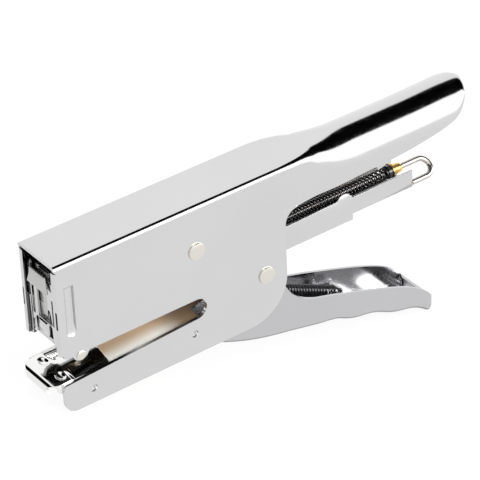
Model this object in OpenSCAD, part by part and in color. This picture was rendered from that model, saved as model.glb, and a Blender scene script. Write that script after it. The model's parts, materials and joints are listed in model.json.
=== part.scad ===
// Plier stapler: an all-metal hand stapler squeezed like a pair of pliers.
// Every piece is drawn in the body's own level frame, nose towards -X, near
// side towards -Y, Z = 0 on the lower edge of the jaw. stand() then tips the
// whole tool onto its nose and the tail of its lower handle, as it stands.

/* [Staple] */
// Outside width of a staple's crown
crown_w = 12.9; // [11:0.1:16]
// Thickness of the staple wire
staple_wire = 0.5; // [0.4:0.05:0.7]
// Length of a staple's legs
staple_leg = 6; // [5:0.5:8]
// Length of the loaded strip of staples
strip_l = 26; // [10:1:50]
// Side clearance between the staples and the tracks that guide them
staple_clear = 0.15; // [0.05:0.05:0.3]

/* [Body] */
// Height of the body from the jaw's lower edge to the top plate
body_h = 54.4; // [54:0.1:66]
// Length of the side cheeks from their front edge to their rear edge
cheek_l = 85.6; // [85:0.1:92]
// Length from the cheeks' front edge to the end of the upper handle
handle_l = 164.5; // [145:0.1:200]
// Thickness of the body sheet
body_t = 1.2; // [0.8:0.1:1.4]
// Outside radius of the bend along the top plate
bend_r = 1.5; // [1.5:0.1:4]
// Height of the cheeks' lower edge above the throat
throat_top = 20.4; // [20:0.1:24]
// Depth of the throat from the cheeks' front edge
throat_l = 54.1; // [40:0.1:60]
// Height of the jaw's upper edge at the front
jaw_h = 10.6; // [9:0.1:11]
// Rise of the jaw's upper edge per millimetre towards the rear
jaw_rise = 0.045; // [0:0.005:0.06]
// Radius of the jaw's lower front corner
jaw_r = 4.6; // [3:0.1:5]
// Radius of the cheeks' lower rear corner
cheek_r = 14.6; // [12:0.1:15]

/* [Upper handle] */
// Radius of the upper handle's rounded top
grip_r = 9.8; // [9.3:0.1:9.8]
// Drop of the handle's crown below the top plate
grip_drop = 1.2; // [0.5:0.1:3]
// Height of the handle's lower edge
grip_edge = 38; // [37:0.1:39]

/* [Pivots] */
// Distance of the lever's rivet from the cheeks' front edge
lever_x = 51.2; // [50:0.1:53]
// Height of the lever's rivet
lever_z = 38.3; // [37:0.1:40]
// Distance of the handle's rivet from the cheeks' front edge
pivot_x = 77.5; // [76.5:0.1:78]
// Height of the handle's rivet
pivot_z = 17.6; // [17:0.1:18]
// Radius of the rivets' shanks
rivet_r = 2.2; // [1.8:0.1:2.7]
// Radius of the rivets' domed heads
head_r = 2.9; // [2.8:0.1:3.6]
// Height of the rivets' domed heads
head_h = 0.9; // [0.6:0.1:1.2]

/* [Lower handle and lever] */
// Sheet thickness of the lower handle and of the drive lever
lever_t = 1; // [0.8:0.1:1.2]
// Length from the cheeks' front edge to the middle of the handle's rounded tail
tail_x = 145.6; // [140:0.1:175]
// Full squeeze of the lower handle, in degrees
squeeze = 30; // [20:1:32]
// Turn of the drive lever per degree of the handle
lever_ratio = 0.7; // [0.6:0.05:0.75]

/* [Magazine] */
// Sheet thickness of the magazine channel
channel_t = 0.8; // [0.6:0.1:1]
// Height of the underside of the magazine
channel_z = 21.6; // [21.6:0.1:22.4]
// Height of the channel's walls
channel_h = 8.6; // [8:0.1:9.5]
// Rear end of the magazine channel
channel_end = 114.4; // [105:0.1:125]
// Sheet thickness of the staple rail
rail_t = 0.7; // [0.5:0.1:0.9]
// Rear end of the staple rail
rail_end = 140.5; // [130:0.1:142]

/* [Feeder] */
// Radius of the feeder's rod wire
rod_r = 0.9; // [0.7:0.1:1.2]
// Outside radius of the feeder's spring
coil_r = 2.2; // [1.8:0.1:2.6]
// Length of the pusher
pusher_l = 12; // [8:0.5:16]

/* [Fits] */
// Radial clearance of a pin or rod that turns or slides in a hole
run_clear = 0.05; // [0.02:0.01:0.1]
// Side clearance between plates that move past each other
side_clear = 0.1; // [0.05:0.05:0.2]
// Gap kept between the lever's cam edge and the handle's cam nose
cam_clear = 0.08; // [0.05:0.01:0.15]

/* [Hidden] */
$fn = 64;
far = 200;
eps = 0.01;

// Widths, worked outwards from the staple: each is half of a full width.
rail_gap = 0.2;
rail_y = crown_w / 2 - staple_wire - rail_gap;
track_y = crown_w / 2 + staple_clear;
channel_y = track_y + channel_t;
lever_in_y = channel_y + side_clear;
lever_y = lever_in_y + lever_t;
cheek_y = lever_y + side_clear;
body_y = cheek_y + body_t;

// Heights inside the magazine.
floor_z = channel_z + channel_t;
rail_z = floor_z + staple_leg + 0.2;
crown_z = rail_z + staple_wire;
rod_z = rail_z - 1.2;
channel_top = channel_z + channel_h;

// The front of the magazine: cover plate, then driver, then channel.
driver_x = 1.9;
driver_t = 0.6;
mag_x = driver_x + driver_t + 0.1;
pusher_x = mag_x + strip_l + 0.1;

// The drive lever's nose and the head that it works.
nose_x = 5.6;
nose_z = lever_z + 6.7;
nose_r = 2;
nose_y = 4;
nose_clear = 0.2;
web_z = body_h - body_t - 3.2;
web_x = 10.5;

// The cam nose on the handle and its path.
cam_r = 3;
cam_x = pivot_x + 4;
cam_z = pivot_z + 12.9;
cam_steps = 12;

// The tail of the lower handle and the bump line of its finger grips.
tail_r = 1.95;
tail_z = -26.6;
toe_x = 61;
toe_z = -1.2;
belly_x = 56;
belly_l = 31;
belly_h = 1.25;
palm_x = 87;
palm_l = 20;
palm_h = 2.1;
hollow_x = 131;
bump_x = 113;
bump_gap = 18.5;
bump_h = 0.5;

// The upper handle's neck, where the square section turns round.
neck_x0 = 84;
neck_x1 = 112;
grip_z = body_h - grip_drop - grip_r;
corner_r = norm([body_y, grip_drop + grip_r]);
round_x = handle_l - grip_r;

// Standing: both resting corners are arcs, and the tilt is the slope of the
// line that touches both from below.
rest_dx = tail_x - jaw_r - 0.2;
rest_dz = tail_z - jaw_r;
tilt = asin((tail_r - jaw_r) / norm([rest_dx, rest_dz])) - atan2(rest_dz, rest_dx);
stand_z = jaw_r - (jaw_r + 0.2) * sin(tilt) - jaw_r * cos(tilt);
x_tail = tail_x * cos(tilt) - tail_z * sin(tilt) + tail_r;
x_tip = handle_l * cos(tilt) - (body_h - grip_drop - body_t) * sin(tilt);
x_high = max(x_tail, x_tip);
x_low = -body_h * sin(tilt);
stand_x = -(x_high + x_low) / 2;

module stand() {
  translate([stand_x, 0, stand_z])
    rotate([0, -tilt, 0])
      children();
}

// A side view, drawn as (x, z), given a thickness from y0 to y1.
module slab(y0, y1) {
  translate([0, y1, 0])
    rotate([90, 0, 0])
      linear_extrude(height = y1 - y0)
        children();
}

// The same slab on both sides of the tool.
module pair(y0, y1) {
  slab(y0, y1) children();
  slab(-y1, -y0) children();
}

// A round bar across the tool through side-view point (x, z).
module cross_bar(x, z, r, y) {
  translate([x, y, z])
    rotate([90, 0, 0])
      cylinder(r = r, h = 2 * y);
}

// A round bar along the tool from x0 to x1 on the line through (y, z).
module long_bar(x0, x1, r, y = 0, z = rod_z) {
  translate([x0, y, z])
    rotate([0, 90, 0])
      cylinder(r = r, h = x1 - x0);
}

// A block from x0 to x1, y0 to y1 and z0 to z1.
module block(x0, x1, y0, y1, z0, z1) {
  translate([x0, y0, z0])
    cube([x1 - x0, y1 - y0, z1 - z0]);
}

// A domed rivet head that stands out of face y, on either side.
module dome(x, z, r, h, y) {
  ball_r = (r * r + h * h) / (2 * h);
  for (side = [-1, 1])
    scale_y(side)
      intersection() {
        translate([x, y + h - ball_r, z])
          sphere(r = ball_r);
        translate([x, y + h, z])
          rotate([90, 0, 0])
            cylinder(r = r, h = h);
      }
}

module scale_y(side) {
  if (side > 0)
    children();
  else
    mirror([0, 1, 0])
      children();
}

// ---------------------------------------------------------------- body

function jaw_top(x) = jaw_h + jaw_rise * x;

throat_r = (throat_top - jaw_top(throat_l)) / 2;

// Lower edge of the upper handle, turning up to meet its rounded end.
function grip_bottom(x) =
  let (
    u = max(0, (x - neck_x0 - 12) / (round_x - neck_x0 - 12)),
    lift = 2.2
  )
  grip_edge + lift * u + (grip_z - grip_edge - lift) * pow(u, 6);

module cheek_outline() {
  difference() {
    union() {
      translate([0, throat_top])
        square([cheek_l, far]);
      polygon(concat(
        [for (x = [cheek_l - 1 : 3 : round_x + 4]) [x, grip_bottom(x)]],
        [[handle_l + 4, grip_z + 3], [handle_l + 4, far], [cheek_l - 1, far]]
      ));
      translate([throat_l - throat_r, 0])
        square([cheek_l - cheek_r - throat_l + throat_r, throat_top + 1]);
      translate([cheek_l - cheek_r - 1, cheek_r])
        square([cheek_r + 1, throat_top]);
      translate([cheek_l - cheek_r, cheek_r])
        circle(r = cheek_r, $fn = 96);
      polygon([
        [0.2, jaw_r], [0.2 + jaw_r, jaw_r], [0.2 + jaw_r, 0], [throat_l, 0],
        [throat_l, jaw_top(throat_l)], [0.2, jaw_top(0.2)]
      ]);
      translate([0.2 + jaw_r, jaw_r])
        circle(r = jaw_r);
      translate([stud_x, stud_z + 1.2])
        circle(r = 2.9);
      notch_fill();
    }
    throat_end();
  }
}

notch_r = 5;

// The rounded inner corner between the cheek's rear edge and the handle.
module notch_fill() {
  difference() {
    translate([cheek_l - 1, grip_edge - notch_r])
      square([notch_r + 1, notch_r + 1]);
    translate([cheek_l + notch_r, grip_edge - notch_r])
      circle(r = notch_r);
  }
}

module throat_end() {
  translate([throat_l - throat_r, throat_top - throat_r])
    circle(r = throat_r);
  polygon([
    [-9, jaw_top(0.2)], [0.2, jaw_top(0.2)],
    [throat_l - throat_r, jaw_top(throat_l - throat_r)],
    [throat_l - throat_r, throat_top], [stud_x + 2.6, throat_top],
    [stud_x + 2.6, throat_top - 3.5], [-9, throat_top - 3.5]
  ]);
}

// Cross-section of the square part, inset by d.
module box_section(d) {
  half = body_y - d;
  top = body_h - d;
  r = bend_r - d;
  translate([-half, -far / 2])
    square([2 * half, top - r + far / 2]);
  translate([r - half, 0])
    square([2 * (half - r), top]);
  for (s = [-1, 1])
    translate([s * (half - r), top - r])
      circle(r = r);
}

// The turned top of the handle, inset by d, about its own axis.
module grip_round(d) {
  translate([0, 0, grip_z])
    rotate([0, 90, 0])
      rotate_extrude($fn = 96)
        polygon([
          [0, -10], [corner_r + 6 - d, -10], [corner_r + 6 - d, neck_x0 - 8],
          [corner_r - d, neck_x0], [grip_r - d, neck_x1],
          [grip_r - d, handle_l + 9], [0, handle_l + 9]
        ]);
}

// Plan of the tool, round at the handle's end.
module grip_plan() {
  translate([-10, -body_y])
    square([round_x + 10, 2 * body_y]);
  translate([round_x, 0])
    circle(r = grip_r, $fn = 96);
}

// The body as a solid bar, inset by d: square, then round on top.
module body_form(d) {
  intersection() {
    rotate([90, 0, 90])
      translate([0, 0, d > 0 ? -9 : 0])
        linear_extrude(height = handle_l + 8)
          box_section(d);
    union() {
      grip_round(d);
      block(-10, handle_l + 9, -far / 2, far / 2, -far / 2, grip_z);
    }
  }
}

// The upright bead pressed into each cheek near its front edge.
bead_x = 4.55;
bead_w = 3.3;
bead_low = 27.7;
bead_high = 46.2;
bead_d = 0.7;

module bead_shape(grow = 0) {
  translate([bead_x - bead_w / 2 - grow, bead_low + bead_w / 2])
    square([bead_w + 2 * grow, bead_high - bead_low - bead_w / 2 + grow]);
  translate([bead_x, bead_low + bead_w / 2])
    circle(r = bead_w / 2 + grow);
}

// Guide studs through the two lobes under the cheeks' front corners.
stud_x = 7.1;
stud_z = 19.6;

// Marks where a punch has staked the cheeks into the jaw's two inserts.
stakes = [[10.8, 5.4], [49.1, 7.9]];

module frame() {
  color("gainsboro")
    difference() {
      union() {
        intersection() {
          difference() {
            body_form(0);
            body_form(body_t);
          }
          slab(-far, far)
            cheek_outline();
          linear_extrude(height = far, center = true)
            grip_plan();
        }
        pair(cheek_y - bead_d, cheek_y + eps)
          bead_shape();
        // front edges of the cheeks, folded inwards
        pair(channel_y + 2 * side_clear, cheek_y + eps)
          translate([0, throat_top + 1.4])
            square([body_t, body_h - body_t - throat_top - 3]);
      }
      pair(body_y - bead_d, body_y + 1)
        bead_shape();
      cross_bar(lever_x, lever_z, rivet_r, far);
      cross_bar(pivot_x, pivot_z, rivet_r, far);
      cross_bar(stud_x, stud_z, stud_r, far);
      for (s = stakes)
        pair(body_y - 0.4, body_y + 1)
          translate(s)
            circle(r = 1.1);
    }
}

// ------------------------------------------------------ jaw inserts

anvil_x0 = -3.7;
anvil_x1 = 18.6;
anvil_t = 1.2;
anvil_rise = 0.6;
liner_x1 = 52.2;
liner_drop = 0.7;
anchor_x = 60.5;
anchor_z = 15;

module anvil_plan() {
  polygon([
    [anvil_x0, -cheek_y + 2.6], [anvil_x0 + 2.2, -cheek_y + 0.6],
    [anvil_x0 + 4, -cheek_y], [anvil_x1, -cheek_y], [anvil_x1, cheek_y],
    [anvil_x0 + 4, cheek_y], [anvil_x0 + 2.2, cheek_y - 0.6],
    [anvil_x0, cheek_y - 2.6]
  ]);
}

module anvil_plate() {
  top = anvil_rise;
  color("silver")
    difference() {
      intersection() {
        union() {
          slab(-cheek_y, cheek_y)
            polygon([
              [anvil_x0 + 1.5, jaw_top(anvil_x0 + 1.5) + top - anvil_t],
              [anvil_x1, jaw_top(anvil_x1) + top - anvil_t],
              [anvil_x1, jaw_top(anvil_x1) + top],
              [anvil_x0 + 1.5, jaw_top(anvil_x0 + 1.5) + top]
            ]);
          pair(cheek_y - anvil_t, cheek_y)
            polygon([
              [1, 7], [6, 4.4], [anvil_x1, 4.4],
              [anvil_x1, jaw_top(anvil_x1)], [1, jaw_top(1)]
            ]);
          slab(-cheek_y, cheek_y)
            nose_roll();
        }
        linear_extrude(height = far, center = true)
          anvil_plan();
      }
      for (s = [-1, 1])
        clinch_pocket(s);
    }
}

// The anvil's front edge, rolled down over the nose.
module nose_roll() {
  roll = 1.9;
  x = anvil_x0 + roll;
  z = jaw_top(anvil_x0 + 1.5) + anvil_rise - roll;
  difference() {
    union() {
      translate([x, z])
        circle(r = roll);
      translate([x - roll, z - 2.2])
        square([anvil_t, 2.2]);
    }
    translate([x, z])
      circle(r = roll - anvil_t);
    translate([x - roll + anvil_t, z - 9])
      square([9, 9]);
  }
}

// A shallow curved pocket that turns one leg of the staple inwards.
module clinch_pocket(side) {
  pocket_r = 3;
  depth = 0.55;
  x = driver_x + driver_t / 2;
  y = crown_w / 2 - 1.6;
  translate([x, side * y, jaw_top(x) + anvil_rise + pocket_r - depth])
    rotate([0, 90, 0])
      cylinder(r = pocket_r, h = 1.7, center = true);
}

module jaw_liner() {
  x0 = anvil_x1 + 0.05;
  color("tan")
    difference() {
      union() {
        slab(-cheek_y, cheek_y)
          polygon([
            [x0, jaw_top(x0) - liner_drop - 1],
            [liner_x1, jaw_top(liner_x1) - liner_drop - 1],
            [liner_x1, jaw_top(liner_x1) - liner_drop],
            [x0, jaw_top(x0) - liner_drop]
          ]);
        pair(cheek_y - 1, cheek_y)
          polygon([
            [x0, 4.4], [liner_x1, 5],
            [liner_x1, jaw_top(liner_x1) - liner_drop - 0.5],
            [x0, jaw_top(x0) - liner_drop - 0.5]
          ]);
        // tongue with a hole, where the return spring hooks on
        slab(-2.2, 2.2)
          polygon([
            [liner_x1 - 0.5, jaw_top(liner_x1) - liner_drop - 1],
            [anchor_x + 2, anchor_z - 1.3], [anchor_x + 2, anchor_z - 0.3],
            [liner_x1 - 0.5, jaw_top(liner_x1) - liner_drop]
          ]);
      }
      translate([anchor_x, 0, anchor_z])
        cylinder(r = 0.9, h = 9, center = true);
    }
}

// -------------------------------------------------------------- pins

module rivet(x, z) {
  cross_bar(x, z, rivet_r, body_y);
  dome(x, z, head_r, head_h, body_y);
}

module lever_rivet() {
  color("linen")
    rivet(lever_x, lever_z);
}

module handle_rivet() {
  color("linen")
    rivet(pivot_x, pivot_z);
}

stud_r = 1.2;

module guide_studs() {
  color("silver") {
    pair(cheek_y - 0.3, body_y)
      translate([stud_x, stud_z])
        circle(r = stud_r);
    dome(stud_x, stud_z, 1.9, 0.6, body_y);
  }
}

// ------------------------------------------------------ lower handle

// Underside of the lower handle: a straight fall from toe to tail, with a
// belly under the rivet, a hollow for the palm and bumps for the fingers.
function grip_line(x) =
  toe_z + (tail_z - tail_r - toe_z) * (x - toe_x) / (tail_x - toe_x)
  - belly_h * sin(180 * ramp(x, belly_x, belly_l))
  + palm_h * (ramp(x, palm_x, palm_l) - pow(ramp(x, hollow_x, tail_x - hollow_x), 2))
  - bump_h * ramp(x, bump_x - 15, 12) * cos(360 * (x - bump_x) / bump_gap);

function ramp(x, x0, l) = min(1, max(0, (x - x0) / l));

// Upper face of the handle's floor.
function floor_line(x) = grip_line(x) + lever_t * 1.05;

// Places along the floor where its outline has a point.
function floor_x(i) = toe_x - 3 + 1.5 * i;
floor_steps = floor((tail_x - toe_x + 3) / 1.5);

// Upper edge of the handle's walls behind the cheeks.
wall_edge = [
  [86.4, 7.5], [88.4, 4.6], [90.9, 2.3], [94, 0.2], [97.8, -1.5], [105.3, -3.6]
];

function tail_top(x) =
  let (u = (x - 105.3) / (tail_x + tail_r - 105.3))
  -3.6 - 13.6 * u - 3.2 * pow(u, 4) - 3 * pow(u, 12);

module handle_outline() {
  polygon(concat(
    [for (x = [toe_x : 1.5 : tail_x]) [x, grip_line(x)]],
    [[tail_x, tail_z - tail_r]],
    [for (a = [-80 : 20 : 0]) [tail_x + tail_r * cos(a), tail_z + tail_r * sin(a)]],
    [for (i = [0 : 14])
      let (x = tail_x + tail_r - i / 14 * (tail_x + tail_r - 105.3))
      [x, tail_top(x)]],
    [for (i = [5 : -1 : 0]) wall_edge[i]],
    [[83.5, 13.5], [pivot_x + 5, pivot_z]],
    [[pivot_x - 5, pivot_z], [68, 11], [toe_x, 2.5]]
  ));
  translate([pivot_x, pivot_z])
    circle(r = 5);
  translate([cam_x, cam_z])
    circle(r = cam_r);
  bar_2d([pivot_x, pivot_z], [cam_x, cam_z], cam_r);
}

// A straight bar of half-width r between two side-view points.
module bar_2d(a, b, r) {
  n = [a[1] - b[1], b[0] - a[0]] * r / norm(b - a);
  polygon([a - n, b - n, b + n, a + n]);
}

module lower_handle() {
  color("lightgray")
    difference() {
      slab(-lever_y, lever_y)
        handle_outline();
      slab(-lever_in_y, lever_in_y)
        polygon(concat(
          [for (i = [0 : floor_steps]) [floor_x(i), floor_line(max(floor_x(i), toe_x))]],
          [[tail_x + 0.4, tail_z], [tail_x + 0.4, far], [toe_x - 3, far]]
        ));
      cross_bar(pivot_x, pivot_z, rivet_r + run_clear, far);
    }
}

hook_x = 113.1;
hook_z = -10.3;

// Bent tab on the handle's floor that holds the return spring's rear end.
module spring_hook() {
  foot = floor_line(hook_x - 0.4) + 0.8;
  hook_steps = [36 : 42];
  color("gainsboro")
    difference() {
      union() {
        slab(-2.4, 2.4)
          polygon([
            [hook_x - 0.4, foot], [hook_x + 0.6, foot],
            [hook_x + 0.6, hook_z + 2.2], [hook_x - 0.4, hook_z + 2.2]
          ]);
        slab(-2.4, 2.4)
          polygon(concat(
            [for (i = hook_steps) [floor_x(i), floor_line(floor_x(i))]],
            [[floor_x(42), floor_line(floor_x(42)) + 1],
             [hook_x + 0.6, foot + 0.4], [hook_x - 0.4, foot + 0.4]]
          ));
      }
      translate([hook_x, 0, hook_z])
        rotate([0, 90, 0])
          cylinder(r = 1.1, h = 4, center = true);
    }
}

// Pull spring, drawn as the tube that its coils fill.
module return_spring() {
  dx = hook_x - anchor_x;
  dz = hook_z - anchor_z;
  span = norm([dx, dz]);
  color([0.12, 0.12, 0.12])
    translate([anchor_x, 0, anchor_z])
      rotate([0, atan2(-dz, dx), 0])
        difference() {
          union() {
            long_bar(5, span - 1.6, coil_r + 0.1, 0, 0);
            long_bar(2.6, 6, 0.5, 0, 0);
          }
          long_bar(6.2, span - 2.6, coil_r - 0.7, 0, 0);
        }
}

// -------------------------------------------------------- drive lever

function turn(p, a) = [p[0] * cos(a) - p[1] * sin(a), p[0] * sin(a) + p[1] * cos(a)];

// Place of the handle's cam nose, seen from the lever, after a squeeze of a.
function cam_seen(a) =
  let (
    world = [pivot_x, pivot_z] + turn([cam_x - pivot_x, cam_z - pivot_z], a),
    local = turn(world - [lever_x, lever_z], -lever_ratio * a)
  )
  [lever_x, lever_z] + local;

// Edge of the lever that the cam nose slides along.
function cam_edge(a) =
  let (
    p = cam_seen(a),
    d = cam_seen(a + 0.5) - cam_seen(a - 0.5),
    n = [d[1], -d[0]] / norm(d)
  )
  p + n * (cam_r + cam_clear);

module lever_outline() {
  difference() {
    union() {
      polygon([
        [web_x, web_z - 7.5], [lever_x - 12, lever_z + 2.6], [lever_x - 3, lever_z - 4],
        [lever_x, lever_z], [lever_x + 4.2, lever_z + 3.2], [lever_x - 6, web_z],
        [web_x, web_z]
      ]);
      translate([lever_x, lever_z])
        circle(r = 5);
      polygon([
        [lever_x, lever_z - 5], [pivot_x - 8, pivot_z + 7.4], [cam_x + 1.6, cam_z - 6],
        [cam_x + 1.6, cam_z + 7.4], [lever_x + 2, lever_z + 4.6]
      ]);
    }
    polygon(concat(
      [for (i = [-2 : cam_steps + 1]) cam_edge(squeeze * i / cam_steps)],
      [[pivot_x - 12, pivot_z + 2], [pivot_x - 5, pivot_z - 9], [cam_x + 20, cam_z - 15],
       [cam_x + 20, cam_z + 1]]
    ));
  }
}

module drive_lever() {
  color("gray")
    difference() {
      slab(-lever_y, lever_y)
        lever_outline();
      difference() {
        slab(-lever_in_y, lever_in_y)
          square(far, center = true);
        block(web_x, lever_x - 6, -lever_y, lever_y, web_z - lever_t, web_z + 1);
      }
      cross_bar(lever_x, lever_z, rivet_r + run_clear, far);
    }
}

// Solid tongue under the lever's web, ending in the round nose.
module lever_nose() {
  color("darkgray")
    slab(-nose_y, nose_y) {
      translate([nose_x, nose_z])
        circle(r = nose_r);
      polygon([
        [nose_x, nose_z - 1.2], [web_x + 2, nose_z - 1.8],
        [web_x + 14, web_z - lever_t - 1.4], [web_x + 14, web_z - lever_t],
        [web_x + 1, web_z - lever_t], [web_x - 0.6, nose_z + 0.9],
        [nose_x, nose_z + 1.2]
      ]);
    }
}

module lever_bush() {
  color("silver")
    difference() {
      cross_bar(lever_x, lever_z, 3.4, lever_in_y - side_clear / 2);
      cross_bar(lever_x, lever_z, rivet_r + run_clear, far);
    }
}

// ----------------------------------------------------------- magazine

module channel_wall() {
  polygon([
    [mag_x, channel_z], [channel_end, channel_z], [channel_end, channel_top],
    [mag_x + 7, channel_top], [mag_x + 4.4, 38], [mag_x, 38]
  ]);
  // raised round corner at the rear end
  translate([channel_end - 6, channel_top - 1])
    square([6, 1.2]);
  translate([channel_end - 3, channel_top - 1.2])
    circle(r = 3);
  // ears that hang the magazine on the handle's rivet
  polygon([
    [pivot_x - 4.2, pivot_z], [pivot_x + 4.2, pivot_z],
    [pivot_x + 7.5, channel_z + 0.5], [pivot_x - 7.5, channel_z + 0.5]
  ]);
  translate([pivot_x, pivot_z])
    circle(r = 4.2);
}

module magazine_channel() {
  color("gainsboro")
    difference() {
      union() {
        pair(track_y, channel_y)
          channel_wall();
        block(mag_x, channel_end, -channel_y, channel_y, channel_z, floor_z);
      }
      cross_bar(pivot_x, pivot_z, rivet_r + run_clear, far);
      for (x = rail_rivet_x)
        translate([x, 0, channel_z - 1])
          cylinder(r = 1, h = 9);
    }
}

rail_rivet_x = [14, 98];
rivet_head_h = 0.5;

module staple_rail() {
  color("lightgray")
    difference() {
      block(mag_x, rail_end, -rail_y, rail_y, floor_z, rail_z);
      block(mag_x - 1, rail_end + 1, -rail_y + rail_t, rail_y - rail_t, floor_z + rail_t, far);
      for (x = rail_rivet_x)
        translate([x, 0, floor_z - 1])
          cylinder(r = 1, h = 9);
    }
}

module rail_rivets() {
  color("silver")
    for (x = rail_rivet_x) {
      translate([x, 0, channel_z])
        cylinder(r = 1, h = channel_t + rail_t);
      translate([x, 0, floor_z + rail_t])
        cylinder(r = 1.7, h = rivet_head_h);
    }
}

// Cover over the driver, with a rib pressed forwards down its middle.
module front_plate() {
  rib_y = 2.3;
  plate_t = 0.8;
  x0 = driver_x - 0.1 - plate_t;
  color("gainsboro") {
    difference() {
      block(x0, x0 + plate_t, -track_y, track_y, channel_z, 39);
      block(x0 - 1, x0 + 2, -rib_y, rib_y, channel_z + 3.4, 38.2);
      for (s = [-1, 1])
        translate([x0 - 1, s * 4.6, channel_z])
          rotate([0, 90, 0])
            cylinder(r = 1.7, h = 3);
    }
    difference() {
      block(x0 - 1.2, x0 + plate_t, -rib_y - 0.4, rib_y + 0.4, channel_z + 3, 38.6);
      block(x0 - 0.5, x0 + plate_t + 1, -rib_y + 0.3, rib_y - 0.3, channel_z + 4, 37.8);
    }
    for (s = [-1, 1])
      block(x0, mag_x, s > 0 ? track_y : -channel_y, s > 0 ? channel_y : -track_y, channel_z, 36);
  }
}

module magazine_bush() {
  color("silver")
    difference() {
      cross_bar(pivot_x, pivot_z, 3.4, track_y);
      cross_bar(pivot_x, pivot_z, rivet_r + run_clear, far);
    }
}

module staple_strip() {
  half = crown_w / 2;
  color("silver")
    difference() {
      block(mag_x, mag_x + strip_l, -half, half, crown_z - staple_wire - staple_leg, crown_z);
      block(mag_x - 1, mag_x + strip_l + 1, staple_wire - half, half - staple_wire, 0, rail_z);
    }
}

// ------------------------------------------------------------- driver

blade_low = crown_z + 0.5;
head_l = 6.3;
head_top = nose_z + nose_r + nose_clear + 0.9;
head_low = nose_z - nose_r - nose_clear - 0.9;

module driver_blade() {
  half = crown_w / 2 - staple_clear;
  color("silver") {
    block(driver_x, driver_x + driver_t, -half, half, blade_low, blade_low + 6);
    block(driver_x, driver_x + driver_t, -2.6, 2.6, blade_low + 6 - eps, head_top);
  }
}

// Bracket behind the blade, whose jaws hold the lever's nose.
module driver_head() {
  x0 = driver_x + driver_t;
  color("darkgray")
    difference() {
      block(x0, x0 + head_l, -nose_y - 0.6, nose_y + 0.6, head_low, head_top);
      block(
        x0 + 0.6, far, -9, 9,
        nose_z - nose_r - nose_clear, nose_z + nose_r + nose_clear
      );
    }
}

// ------------------------------------------------------------- feeder

tip_x = 6.5;
collar_x = 134;
ferrule_x = 135.6;
hook_start = 147.2;
hook_bend = 3.2;
hook_lean = 50;

module feeder_rod() {
  color("silver") {
    long_bar(tip_x + 1.5, hook_start, rod_r);
    // hook: back round and down beside the rod, leaning to the near side
    translate([hook_start, 0, rod_z])
      rotate([-hook_lean, 0, 0]) {
        translate([0, 0, -hook_bend])
          rotate([90, 0, 0])
            rotate([0, 0, -90])
              rotate_extrude(angle = 180, $fn = 96)
                translate([hook_bend, 0])
                  circle(r = rod_r, $fn = 32);
        translate([0, 0, -2 * hook_bend])
          long_bar(rail_end + 0.6 - hook_start, 0, rod_r, 0, 0);
      }
  }
}

module rod_tip() {
  color("silver")
    difference() {
      long_bar(tip_x, tip_x + 3, rod_r + 0.2);
      long_bar(tip_x + 1.5, far, rod_r);
    }
}

module rod_collar() {
  color([0.1, 0.1, 0.1])
    difference() {
      long_bar(collar_x, ferrule_x, coil_r + 0.15);
      long_bar(0, far, rod_r);
    }
}

module rod_ferrule() {
  color("goldenrod")
    difference() {
      union() {
        long_bar(ferrule_x, ferrule_x + 0.9, coil_r + 0.25);
        long_bar(ferrule_x, ferrule_x + 4.6, 1.7);
      }
      long_bar(0, far, rod_r);
    }
}

module pusher() {
  in_y = rail_y - rail_t - side_clear;
  low = floor_z + rail_t + rivet_head_h + 0.3;
  top = rail_z + 1.6;
  color("silver")
    difference() {
      union() {
        block(pusher_x, pusher_x + pusher_l, -in_y, in_y, low, top);
        block(
          pusher_x, pusher_x + pusher_l,
          -crown_w / 2, crown_w / 2, rail_z + side_clear, top
        );
      }
      long_bar(0, far, rod_r + run_clear);
    }
}

// Push spring, drawn as the tube that its coils fill.
module pusher_spring() {
  color([0.1, 0.1, 0.1])
    difference() {
      long_bar(pusher_x + pusher_l, collar_x, coil_r);
      long_bar(0, far, coil_r - 0.75);
    }
}

stand() frame();
stand() anvil_plate();
stand() jaw_liner();
stand() lever_rivet();
stand() handle_rivet();
stand() guide_studs();
stand() lower_handle();
stand() spring_hook();
stand() return_spring();
stand() drive_lever();
stand() lever_nose();
stand() lever_bush();
stand() magazine_channel();
stand() staple_rail();
stand() front_plate();
stand() magazine_bush();
stand() rail_rivets();
stand() staple_strip();
stand() driver_blade();
stand() driver_head();
stand() feeder_rod();
stand() rod_tip();
stand() rod_collar();
stand() rod_ferrule();
stand() pusher();
stand() pusher_spring();
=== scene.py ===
import json
import math
import bpy
import bmesh
from mathutils import Vector, Matrix
from mathutils.geometry import delaunay_2d_cdt


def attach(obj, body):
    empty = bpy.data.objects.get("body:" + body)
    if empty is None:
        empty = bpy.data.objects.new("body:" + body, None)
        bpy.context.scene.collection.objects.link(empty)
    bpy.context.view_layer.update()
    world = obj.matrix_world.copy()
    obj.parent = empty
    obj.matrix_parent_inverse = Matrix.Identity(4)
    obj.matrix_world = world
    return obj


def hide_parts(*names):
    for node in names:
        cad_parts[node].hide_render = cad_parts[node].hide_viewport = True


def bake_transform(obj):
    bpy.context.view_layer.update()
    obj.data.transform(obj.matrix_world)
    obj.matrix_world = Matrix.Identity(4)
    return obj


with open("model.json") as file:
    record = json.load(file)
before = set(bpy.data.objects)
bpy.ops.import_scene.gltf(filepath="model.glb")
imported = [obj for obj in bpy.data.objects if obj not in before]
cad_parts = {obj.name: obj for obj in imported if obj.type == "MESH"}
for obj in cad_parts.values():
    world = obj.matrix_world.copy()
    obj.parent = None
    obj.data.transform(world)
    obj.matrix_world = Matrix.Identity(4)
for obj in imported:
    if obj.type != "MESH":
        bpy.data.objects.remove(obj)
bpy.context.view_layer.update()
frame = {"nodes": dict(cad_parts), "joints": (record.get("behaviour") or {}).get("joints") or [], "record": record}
record = frame["record"]
joints = {j["name"]: j for j in frame["joints"]}

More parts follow.
